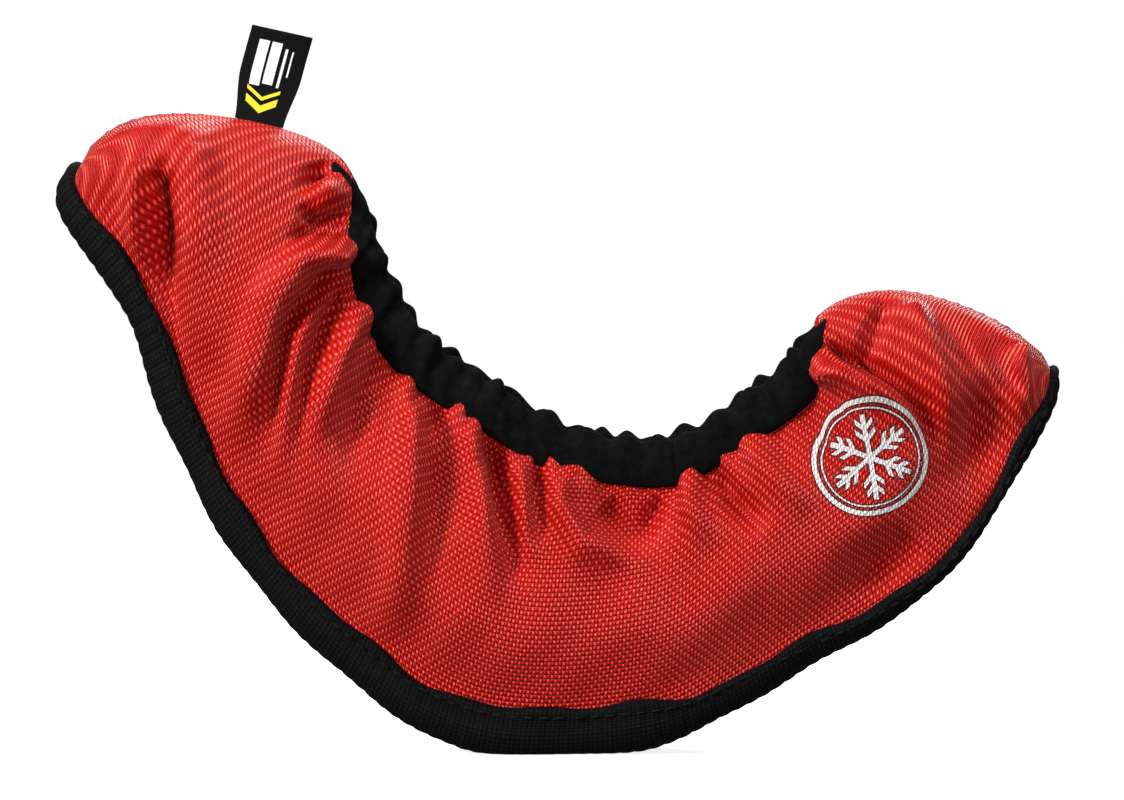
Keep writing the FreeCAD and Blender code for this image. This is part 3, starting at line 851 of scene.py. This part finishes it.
def gathers(s, below_edge, side):
    """Offset and climb of the gathers under the cuff, in millimetres."""
    arc = mouth_arc(s)[:, None]
    phase = scallop_phase(arc, side)
    pucker = np.abs(np.sin(math.pi * phase)) ** 0.85 - 0.60
    long_wave = np.sin(math.pi * phase * 0.5 + 0.8 + 0.9 * np.sin(arc / 23.0))
    slow = np.sin(arc / 5.3 + 0.9 * side) * np.sin(arc / 31.0 + 0.4)
    offset = (2.0 * pucker * np.exp(-below_edge / 8.0) + 2.3 * long_wave * np.exp(-below_edge / 19.0)
              + 0.9 * slow * np.exp(-((below_edge - 22.0) / 16.0) ** 2))
    climb = (2.2 * pucker + 0.9 * long_wave + 0.7 * slow) * np.exp(-below_edge / 9.0)
    return offset, climb


def side_folds(x, z, side):
    """Height of the listed folds on the right (-Y) side and of their relatives on the left."""
    def moved(points):
        return [(px + FAR_WAVE * math.sin(0.05 * px + 0.03 * pz + 1.0), pz - FAR_DROP) for px, pz in points]
    left_folds = [(moved(points), width * FAR_WIDTH, height * FAR_HEIGHT)
                  for points, width, height in FOLDS[::-1]]
    return np.where(side < 0, fold_height(x, z, FOLDS), fold_height(x, z, left_folds))


def ease_width(surface):
    """Keeps the widest folds near the guard's real half width."""
    beyond = np.maximum(np.abs(surface[..., 1]) - WIDTH_KNEE * MM, 0)
    eased = WIDTH_EASE * MM * np.tanh(beyond / (WIDTH_EASE * MM))
    surface[..., 1] -= np.sign(surface[..., 1]) * (beyond - eased)


def weave_map(s, y, t, heights):
    """Cloth coordinates in millimetres: along the guard, and up each side from the sole's middle."""
    share = 0.75 * np.clip(heights / depth(s)[:, None], 0, 1)
    along_sole = sole_arc(s)[:, None] - sole_arc(MIDDLE)
    along_mouth = mouth_arc(s)[:, None] - mouth_arc(MIDDLE)
    steps = np.hypot(np.diff(y, axis=1, prepend=0), np.diff(t, axis=1, prepend=t[:, :1]))
    up_side = np.cumsum(steps, axis=1)
    return np.stack([(1 - share) * along_sole + share * along_mouth,
                     np.concatenate([up_side[:, :0:-1], up_side], 1)], -1)


def lining_points(base, normals, surface, below_edge):
    """Outer face of the lining: behind the deepest of the folds around each point."""
    panel_depth = ((surface - base) * normals).sum(-1)
    depth_in = panel_depth
    for _ in range(4):
        wide = np.pad(depth_in, 1, mode="edge")
        depth_in = np.min([wide[a:a + depth_in.shape[0], b:b + depth_in.shape[1]]
                           for a in range(3) for b in range(3)], axis=0)
    depth_in = blur(depth_in[..., None], 3)[..., 0]
    tucked = smooth(below_edge / 5.5)
    depth_in = np.minimum(tucked * depth_in - (1 - tucked) * LINING_EDGE_DEPTH * MM, panel_depth)
    return base + normals * (depth_in - (LINING_GAP + LINING_TUCK * tucked) * MM)[..., None]


def guard_grid():
    """Fine grid of the panels' outer face with its folds, and what goes with it, per grid point."""
    s = np.linspace(0, LAST, ROWS * LAST + 1)
    y, t = even_outline(s, np.full(len(s), TOP_EDGE), COLUMNS)
    base = both_sides(s, y, t)
    normals = grid_normals(base)
    normals = np.concatenate([normals[1:2], blur(normals, 2)[1:-1], normals[-2:-1]])
    heights = np.concatenate([t[:, :0:-1], t], 1)
    side = np.concatenate([np.ones(COLUMNS - 1), [0.0], -np.ones(COLUMNS - 1)])[None, :]
    x, z = base[..., 0] / MM, base[..., 2] / MM
    below_edge = panel_top(s)[:, None] - heights
    open_here = edge_drop(s)[:, None] * (0.25 + 0.75 * openness(s)[:, None])
    foot = smooth((heights - FLANK(s)[:, None] + 1.0) / FOLD_FOOT)
    ends = smooth(s / TIP_FADE)[:, None] * smooth((LAST - s) / TIP_FADE)[:, None]
    inset = smooth(below_edge / 6.5)
    seam = inset + 0.6 * open_here * (1 - inset)
    lift = side_folds(x, z, side)
    crumple = (0.35 * np.sin(x / 5.1 + z / 9.3) * np.sin(z / 6.7 - x / 13.0 + 2.0 * side)
               + 0.25 * np.sin(x / 3.3 - z / 4.1 + side))
    gather, climb = gathers(s, below_edge, side)
    offset = (lift * foot * ends * seam + gather * open_here + crumple * foot * ends * seam) * np.abs(side)
    offset = inset * offset + (1 - inset) * np.clip(offset, -EDGE_IN, EDGE_OUT)
    climb = np.maximum(climb * open_here * np.abs(side), EDGE_DIP)

    up = np.stack([TOP_X(s) - SOLE_X(s), np.zeros_like(s), TOP_Z(s) - SOLE_Z(s)], -1)
    up = (up / np.linalg.norm(up, axis=-1, keepdims=True))[:, None, :]
    rising = (normals * up).sum(-1, keepdims=True)
    near_edge = np.exp(-(below_edge / 12.0) ** 2)[..., None]
    outward = normals - 0.8 * near_edge * rising * up
    surface = base + outward * (offset * MM)[..., None]
    surface = surface + up * (climb * MM)[..., None]
    sewn = 1 - foot * ends * smooth(below_edge / 9.0) * np.abs(side)
    surface = surface + crumpled_shift(surface, np.clip(sewn, 0, 1))
    ease_width(surface)
    return {"points": surface, "normals": grid_normals(surface), "weave": weave_map(s, y, t, heights),
            "plan": np.stack([x, z], -1), "lining": lining_points(base, normals, surface, below_edge)}


def rows_between(first, last):
    """Row slice of the fine grid between two sections."""
    return slice(int(round(first * ROWS)), int(round(last * ROWS)) + 1)


def nodes_of(prefix, span_row):
    """CAD nodes that a span's piece stands for."""
    suffix = span_row[0]
    extra = [prefix + "middle"] if suffix == "heel_quarter" else []
    return [prefix + suffix] + extra


def cut_size(span_row, height_of, straight=False):
    """Flat width, length and area in metres of a span's share of a cut; height_of gives its width at s.

    A straight cut is as long as the sole line; the others also reach along the line of the mouth.
    """
    s = np.linspace(span_row[1], span_row[2], 201)
    heights = np.array([float(height_of(v)) for v in s])
    along_sole, along_mouth = np.diff(sole_arc(s)), np.diff(mouth_arc(s))
    length = along_sole if straight else np.maximum(along_sole, along_mouth)
    area = float(((heights[1:] + heights[:-1]) / 2 * (along_sole + length) / 2).sum())
    return float(heights.max()) * MM, float(length.sum()) * MM, area * MM * MM


def panel_height(s):
    """Width of the side panel's cut from under the sole strip to the top edge, millimetres."""
    y, t = even_outline(np.array([s]), np.array([TOP_EDGE]), 60)
    return np.hypot(np.diff(y), np.diff(t)).sum() * FLAT_SHARE


def make_panels(grid, plain, printed):
    """Two side panels: the left one plain, the right one with the snow star."""
    middle = COLUMNS - 1
    for span_row in SPANS:
        rows = rows_between(span_row[1], span_row[2])
        for side, columns, material in (("left", slice(0, middle - FOOT_COLUMN), plain),
                                        ("right", slice(middle + FOOT_COLUMN + 1, None), printed)):
            points = grid["points"][rows, columns]
            normals = grid["normals"][rows, columns]
            maps = {name: grid[name][rows, columns] for name in ("weave", "plan")}
            piece = shell("panel_%s_%s" % (side, span_row[0]), points,
                          points - normals * PANEL_THICKNESS * MM, material, maps, normals)
            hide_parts(*nodes_of("side_panel_%s_" % side, span_row))
            bend_piece(piece, span_row)
            width, length, area = cut_size(span_row, panel_height)


def make_lining(grid, material):
    """One absorbent sheet, U-shaped in section, just inside the panels; it ends short of both tips."""
    for span_row in SPANS:
        rows = rows_between(max(span_row[1], 1), min(span_row[2], LAST - 1))
        points = grid["lining"][rows, 1:-1]
        normals = grid_normals(points)
        piece = shell("lining_" + span_row[0] + "_sheet", points,
                      points - normals * (LINING_THICKNESS * MM), material, {}, normals)
        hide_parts(*nodes_of("lining_", span_row))
        bend_piece(piece, span_row)
        width, length, area = cut_size(span_row, lambda v: 2 * panel_height(v))


def strip_offsets(s, across, width):
    """Outer height of the strip above its inner face: ribs, waves and rolled edges, millimetres."""
    arc = sole_arc(s)[:, None]
    rib = RIB_HEIGHT * np.abs(np.sin(math.pi * arc / RIB_PITCH)) ** 0.8
    wave = 0.30 * np.sin(arc / 9.5) * np.sin(arc / 24.0 + 0.6) + 0.3 * np.sin(arc / 5.3 + 1.0)
    edge = np.clip((width - np.abs(across)) / STRIP_EDGE, 0, 1)
    roll = np.sqrt(np.maximum(1 - (1 - edge) ** 2, 0.0))
    return (SOLE_THICKNESS - RIB_HEIGHT + rib + wave) * (0.25 + 0.75 * roll)


def strip_half_width(s):
    """Width of the sole strip's cut from its middle to one edge, millimetres."""
    y, t = even_outline(np.array([s]), flank_end(np.array([s])), STRIP_COLUMNS, SHEET_GAP)
    return np.hypot(np.diff(y), np.diff(t)).sum()


def flattened(z):
    """Heights of the sole's outer face with what would be below the ground pressed flat, millimetres."""
    eased = 0.5 * (z + np.sqrt(z ** 2 + 1.6 ** 2)) - 0.5 * np.exp(-(z / 2) ** 2)
    return np.maximum(eased, 0.05)


def make_sole(material):
    """Ribbed webbing under the guard, turned up the flanks."""
    for span_row in SPANS:
        s = np.linspace(span_row[1], span_row[2], int((span_row[2] - span_row[1]) * STRIP_ROWS) + 1)
        inner_y, inner_t = even_outline(s, flank_end(s), STRIP_COLUMNS, SHEET_GAP)
        arc = sole_arc(s)
        lift = 0.9 * np.sin(arc / 8.7) * np.sin(arc / 33.0) + 0.5 * np.sin(arc / 4.1 + 0.5)
        inner_t = inner_t + lift[:, None] * np.linspace(0, 1, STRIP_COLUMNS) ** 4
        inner = both_sides(s, inner_y, inner_t)
        normals = grid_normals(inner)
        normals[0], normals[-1] = normals[1], normals[-2]
        steps = np.linalg.norm(np.diff(inner, axis=1), axis=-1)
        across = np.concatenate([np.zeros((len(s), 1)), np.cumsum(steps, 1)], 1) / MM
        across = across - across[:, STRIP_COLUMNS - 1:STRIP_COLUMNS]
        width = np.abs(across[:, :1])
        height = strip_offsets(s, across, width)
        outer = inner + normals * (height * MM)[..., None]
        outer[..., 2] = flattened(outer[..., 2] / MM) * MM
        weave = np.stack([np.repeat(arc[:, None], across.shape[1], 1), across], -1)
        piece = shell("sole_webbing_" + span_row[0], outer, inner, material, {"weave": weave})
        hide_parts(*nodes_of("sole_strip_", span_row))
        bend_piece(piece, span_row)
        width, length, area = cut_size(span_row, lambda v: 2 * strip_half_width(v), straight=True)


# ---------------------------------------------------------------- cuff and elastic along the mouth
def mouth_frames(start, end, step):
    """Frames (section, y, along-section, along-y) of the mouth line between two sections.

    A span that holds an end of the mouth turns round it, from the right side to the left side;
    otherwise there are two runs, left and right. The last two values point away from the mouth.
    """
    def run(first, last, side):
        count = max(4, int(abs(float(mouth_arc(last) - mouth_arc(first))) / step) + 1)
        return [(s, side * MOUTH_HALF_GAP, 0.0, float(side)) for s in np.linspace(first, last, count)]

    def turn(hinge, mouth_end):
        direction = -1.0 if mouth_end < hinge else 1.0
        centre = mouth_end - direction * MOUTH_ROUND
        reach = float(abs(mouth_arc(centre) - mouth_arc(mouth_end)))
        count = int(math.pi * MOUTH_HALF_GAP / step)
        bend = []
        for angle in np.linspace(-math.pi / 2, math.pi / 2, count + 1)[1:-1]:
            out_s, out_y = MOUTH_HALF_GAP * math.cos(angle), reach * math.sin(angle)
            length = math.hypot(out_s, out_y)
            bend.append((centre + direction * MOUTH_ROUND * math.cos(angle), MOUTH_HALF_GAP * math.sin(angle),
                         direction * out_s / length * MOUTH_ROUND / reach, out_y / length))
        return run(hinge, centre, -1) + bend + run(centre, hinge, 1)
    if start < HEEL_MOUTH_END:
        return [turn(end, HEEL_MOUTH_END)]
    if end > TOE_MOUTH_END:
        return [turn(start, TOE_MOUTH_END)]
    return [run(start, end, 1), run(start, end, -1)]


def tube_along(frames, profile):
    """Grid of a closed section swept along the mouth, and the length travelled at each row.

    profile(arc, side, room) gives the section's (across, height) points.
    """
    rows = []
    arcs = []
    travelled = 0.0
    previous = None
    for s, y, along_s, along_y in frames:
        middle = place(s, y, panel_top(s))
        if previous is not None:
            travelled += float(np.linalg.norm(middle - previous)) / MM
        previous = middle
        side = 1.0 if y > 0 else -1.0
        turned = MOUTH_HALF_GAP - abs(y)
        across, height = profile(float(mouth_arc(s)) - turned * math.copysign(1.0, MIDDLE - s), side,
                                 float(depth(s) - panel_top(s)))
        section = s + along_s * across
        rows.append(place(section, y + along_y * across, panel_top(s) + height))
        arcs.append(travelled)
    return np.array(rows), np.array(arcs)


def signed_power(value, power):
    return np.sign(value) * np.abs(value) ** power


def cuff_profile(arc, side, room):
    """Closed section of the gathered fleece: a soft lobe, pinched between two scallops."""
    phase = scallop_phase(arc, side)
    lobe = (0.5 - 0.5 * math.cos(2 * math.pi * phase)) ** 0.75
    kind = math.sin(2.4 * math.floor(phase) + 0.7 * side)
    full = min(1.0, room / CUFF_HEIGHT)
    bob = 1.7 * lobe - 1.3 + 0.8 * kind * lobe + 0.35 * math.sin(arc / 1.9)
    crest = room + 1.1 * full - 1.6 * (1 - full) + bob * full
    low = -1.6 * full - 4.2 * (1 - full)
    half = (1.5 + 1.1 * full) * (1.0 + 0.10 * lobe + 0.06 * math.sin(arc / 2.7 + side))
    lean = (0.9 * math.sin(arc / 4.4 + side) + 0.4 * kind) * full
    angles = np.linspace(0, 2 * math.pi, 44, endpoint=False)
    cosine, sine = np.cos(angles), np.sin(angles)
    across = half * signed_power(cosine, 0.75)
    height = (crest + low) / 2 + (crest - low) / 2 * signed_power(sine, 0.85)
    share = np.clip(height / max(crest, 1.0), 0, 1)
    wrinkle = (0.42 * np.sin(1.9 * phase * math.pi + 3.1 * share + kind) * (0.35 + share)
               + 0.22 * np.sin(arc / 0.9 + 5.0 * share + 2.0 * side)) * full
    pinch = 1.0 - 0.26 * (1 - lobe) * share ** 2
    return across * pinch + wrinkle * cosine + lean * share, height


def elastic_profile(arc, side, room):
    """Rounded flat band inside the fleece."""
    angles = np.linspace(0, 2 * math.pi, 16, endpoint=False)
    ripple = 0.25 * math.sin(arc * 1.4)
    across = 0.5 * signed_power(np.cos(angles), 0.5) + ripple
    full = min(1.0, room / CUFF_HEIGHT)
    low = 1.4 * full - 3.7 * (1 - full)
    half_width = 0.8 + 2.8 * full
    return across, low + half_width + half_width * signed_power(np.sin(angles), 0.5)


def make_loop(name, node_prefix, profile, step, material):
    """A closed loop round the mouth, in one piece per span, step millimetres between its rows."""
    for span_row in SPANS:
        parts = []
        for frames in mouth_frames(span_row[1], span_row[2], step):
            grid, arcs = tube_along(frames, profile)
            around = np.linalg.norm(np.diff(grid, axis=1), axis=-1)
            across = np.concatenate([np.zeros((len(grid), 1)), np.cumsum(around, 1)], 1) / MM
            weave = np.stack([np.repeat(arcs[:, None], grid.shape[1], 1), across], -1)
            parts.append(shell(name + span_row[0], grid, None, material, {"weave": weave}))
        piece = join(name + span_row[0], parts) if len(parts) > 1 else parts[0]
        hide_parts(*nodes_of(node_prefix, span_row))
        bend_piece(piece, span_row)


# ---------------------------------------------------------------- stitches
def stitch_mesh(name, stitches, radius, material, span_row=None, body=None):
    """Short raised stitches, each given as (start, end, outward) in metres; radius is in millimetres."""
    sides, rings = 8, 6
    radius = radius * MM
    verts, faces = [], []
    for start, end, outward in stitches:
        start, end, outward = (np.array(v, float) for v in (start, end, outward))
        direction = (end - start) / np.linalg.norm(end - start)
        aside = np.cross(direction, outward)
        aside = aside / np.linalg.norm(aside)
        outward = np.cross(aside, direction)
        base = len(verts)
        for ring in range(rings + 1):
            share = ring / rings
            bulge = math.sin(math.pi * min(1.0, max(0.0, 0.06 + 0.88 * share))) ** 0.5
            centre = start + (end - start) * share - outward * radius * (1 - bulge) * 1.2
            for k in range(sides):
                angle = 2 * math.pi * k / sides
                spoke = aside * math.cos(angle) + outward * math.sin(angle)
                verts.append(tuple(centre + spoke * radius * bulge))
        for ring in range(rings):
            for k in range(sides):
                following = (k + 1) % sides
                a = base + ring * sides
                faces.append((a + k, a + following, a + sides + following, a + sides + k))
        faces.append(tuple(base + k for k in reversed(range(sides))))
        faces.append(tuple(base + rings * sides + k for k in range(sides)))
    piece = new_piece(name, verts, faces, material)
    if body:
        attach(piece, body)
    else:
        bend_piece(piece, span_row)
    return piece


def stitches_between(points, normals, pitch, length):
    """Stitches along a line of points in metres; pitch and length are in millimetres."""
    pitch, length = pitch * MM, length * MM
    run = running_length(np.linalg.norm(np.diff(points, axis=0), axis=1))
    made = []
    for start in np.arange(0.3 * pitch, run[-1] - length, pitch):
        ends = [[np.interp(d, run, points[:, i]) for i in range(3)] for d in (start, start + length)]
        outward = [np.interp(start + length / 2, run, normals[:, i]) for i in range(3)]
        made.append((ends[0], ends[1], outward))
    return made


def make_sole_stitches(material):
    """A row near each edge of the sole strip, short of both tips."""
    pitch, length, radius = SOLE_STITCH
    margin, proud = 0.6, 0.15
    for span_row in SPANS:
        s = np.linspace(max(span_row[1], margin), min(span_row[2], LAST - margin), 200)
        y, t = even_outline(s, flank_end(s), STRIP_COLUMNS, SHEET_GAP + SOLE_THICKNESS + proud)
        stitches = []
        for side in (1, -1):
            line = place(s, side * y[:, -5], t[:, -5])
            below = place(s, side * y[:, -8], t[:, -8])
            along = np.gradient(line, axis=0)
            normal = np.cross(along, line - below) * side
            normal = -normal / np.linalg.norm(normal, axis=1, keepdims=True)
            stitches += stitches_between(line, normal, pitch, length)
        piece = stitch_mesh("sole_stitches_" + span_row[0], stitches, radius, material, span_row)
        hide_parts(*nodes_of("sole_seam_thread_", span_row))


def make_cuff_stitches(grid, material):
    """A row just below each panel's top edge."""
    pitch, length, radius = CUFF_STITCH
    for span_row in SPANS:
        rows = rows_between(max(span_row[1], HEEL_MOUTH_END + MOUTH_ROUND),
                            min(span_row[2], TOE_MOUTH_END - MOUTH_ROUND))
        stitches = []
        for column in (2, -3):
            points = grid["points"][rows, column]
            normals = grid["normals"][rows, column]
            stitches += stitches_between(points - normals * 0.1 * MM, normals, pitch, length)
        piece = stitch_mesh("cuff_stitches_" + span_row[0], stitches, radius, material, span_row)
        if not span_row[0].endswith("_end"):
            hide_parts(*nodes_of("cuff_seam_thread_", span_row))


def make_hood_stitches(material):
    """The seams on top of the hoods; the heel's leaves room for the label."""
    pitch, length, radius = HOOD_STITCH
    for name, body, spans in (("heel_hood", "heel_end", ((0.3, 1.98), (2.6, 2.85))),
                              ("toe_hood", "toe_end", ((12.1, 14.7),))):
        stitches = []
        for first, last in spans:
            s = np.linspace(first, last, 120)
            points = place(s, 0.0, panel_top(s) - 0.25)
            normals = place(s, 0.0, panel_top(s) + 5.0) - points
            stitches += stitches_between(points, normals, pitch, length)
        piece = stitch_mesh(name + "_stitches", stitches, radius, material, body=body)
        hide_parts(name + "_seam_thread")


# ---------------------------------------------------------------- label
def make_label(material, thread):
    """Woven tape folded double over its top, sewn into the heel hood's seam, and its bar tack."""
    first, last = [np.array([TOP_X(s), 0.0, TOP_Z(s)]) for s in LABEL_SECTIONS]
    root = (first + last) / 2
    along = (last - first) / np.linalg.norm(last - first)
    up = np.array([-along[2], 0.0, along[0]])
    half = LABEL_HALF_GAP + LABEL_PLY / 2
    straight = LABEL_HEIGHT - half
    rise, turn = np.linspace(0.2, straight, 40), np.linspace(0, math.pi, 11)[1:-1]
    heights = np.concatenate([rise, straight + half * np.sin(turn), rise[::-1]])
    sides = np.concatenate([np.full(40, -half), -half * np.cos(turn), np.full(40, half)])
    widths = np.linspace(-LABEL_WIDTH / 2, LABEL_WIDTH / 2, 33)
    grow = 0.80 + 0.20 * smooth(heights / (0.55 * LABEL_HEIGHT))
    share = heights / LABEL_HEIGHT
    curve = 0.9 * np.sin(share * 2.6) - 1.1 * share ** 2
    rows = widths[None, :] * grow[:, None]
    bow = 0.5 * (widths / (LABEL_WIDTH / 2))[None, :] ** 2 * share[:, None]
    lean = (0.9 * share ** 2)[:, None] * np.ones_like(rows)
    points = root + (rows + lean)[..., None] * along + heights[:, None, None] * up
    points[..., 1] += sides[:, None] + curve[:, None] + bow
    points = points * MM
    normals = grid_normals(points)
    ply = LABEL_PLY / 2 * MM
    facing = np.where(np.arange(len(heights)) < len(heights) // 2, 1.0, -1.0)
    weave = np.stack([widths[None, :] * facing[:, None], np.repeat(heights[:, None], len(widths), 1)], -1)
    piece = shell("label_tape", points + normals * ply, points - normals * ply, material,
                  {"weave": weave}, normals)
    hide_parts("heel_label")
    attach(piece, "label")
    tack = []
    for k in range(-4, 5):
        foot = root + along * k * 1.35 + np.array([0, -0.7, 0])
        tack.append(((foot - along * 0.5 - up * 0.2) * MM, (foot + along * 0.5 + up * 0.3) * MM,
                     (0, -1, 0.2)))
    stitches = stitch_mesh("label_tack", tack, TACK_RADIUS, thread, body="heel_end")
    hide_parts("label_root_stitches")


def make_join_stitches(material):
    """Zig-zag rows that hold the elastic's overlapped ends together, inside the fleece."""
    stitches = []
    y = MOUTH_HALF_GAP + 0.75
    for s in (9.9, 10.1):
        bottom = depth(s) - CUFF_HEIGHT
        for k in range(5):
            swing = 0.02 if k % 2 else -0.02
            stitches.append((place(s - swing, y, bottom + 2.0 + k), place(s + swing, y, bottom + 2.8 + k),
                             (0, 1, 0)))
    piece = stitch_mesh("elastic_join", stitches, JOIN_STITCH_RADIUS, material, body="toe_quarter")
    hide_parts("elastic_join_stitches")


# ---------------------------------------------------------------- the whole guard
make_camera()
make_stage()
make_light()
GRID = guard_grid()
THREAD = thread_material("thread", (0.002, 0.002, 0.002), (0.007, 0.007, 0.007))
RED_THREAD = thread_material("thread_red", (0.16, 0.003, 0.003), (0.40, 0.02, 0.015))
make_panels(GRID, panel_material("panel_nylon", False), panel_material("panel_nylon_printed", True))
make_lining(GRID, terry_material())
make_sole(webbing_material())
make_loop("cuff_fleece_", "cuff_casing_", cuff_profile, 0.5, fleece_material())
make_loop("elastic_", "elastic_band_", elastic_profile, 1.0, elastic_material())
make_sole_stitches(THREAD)
make_cuff_stitches(GRID, RED_THREAD)
make_hood_stitches(RED_THREAD)
make_label(label_material(), THREAD)
make_join_stitches(THREAD)
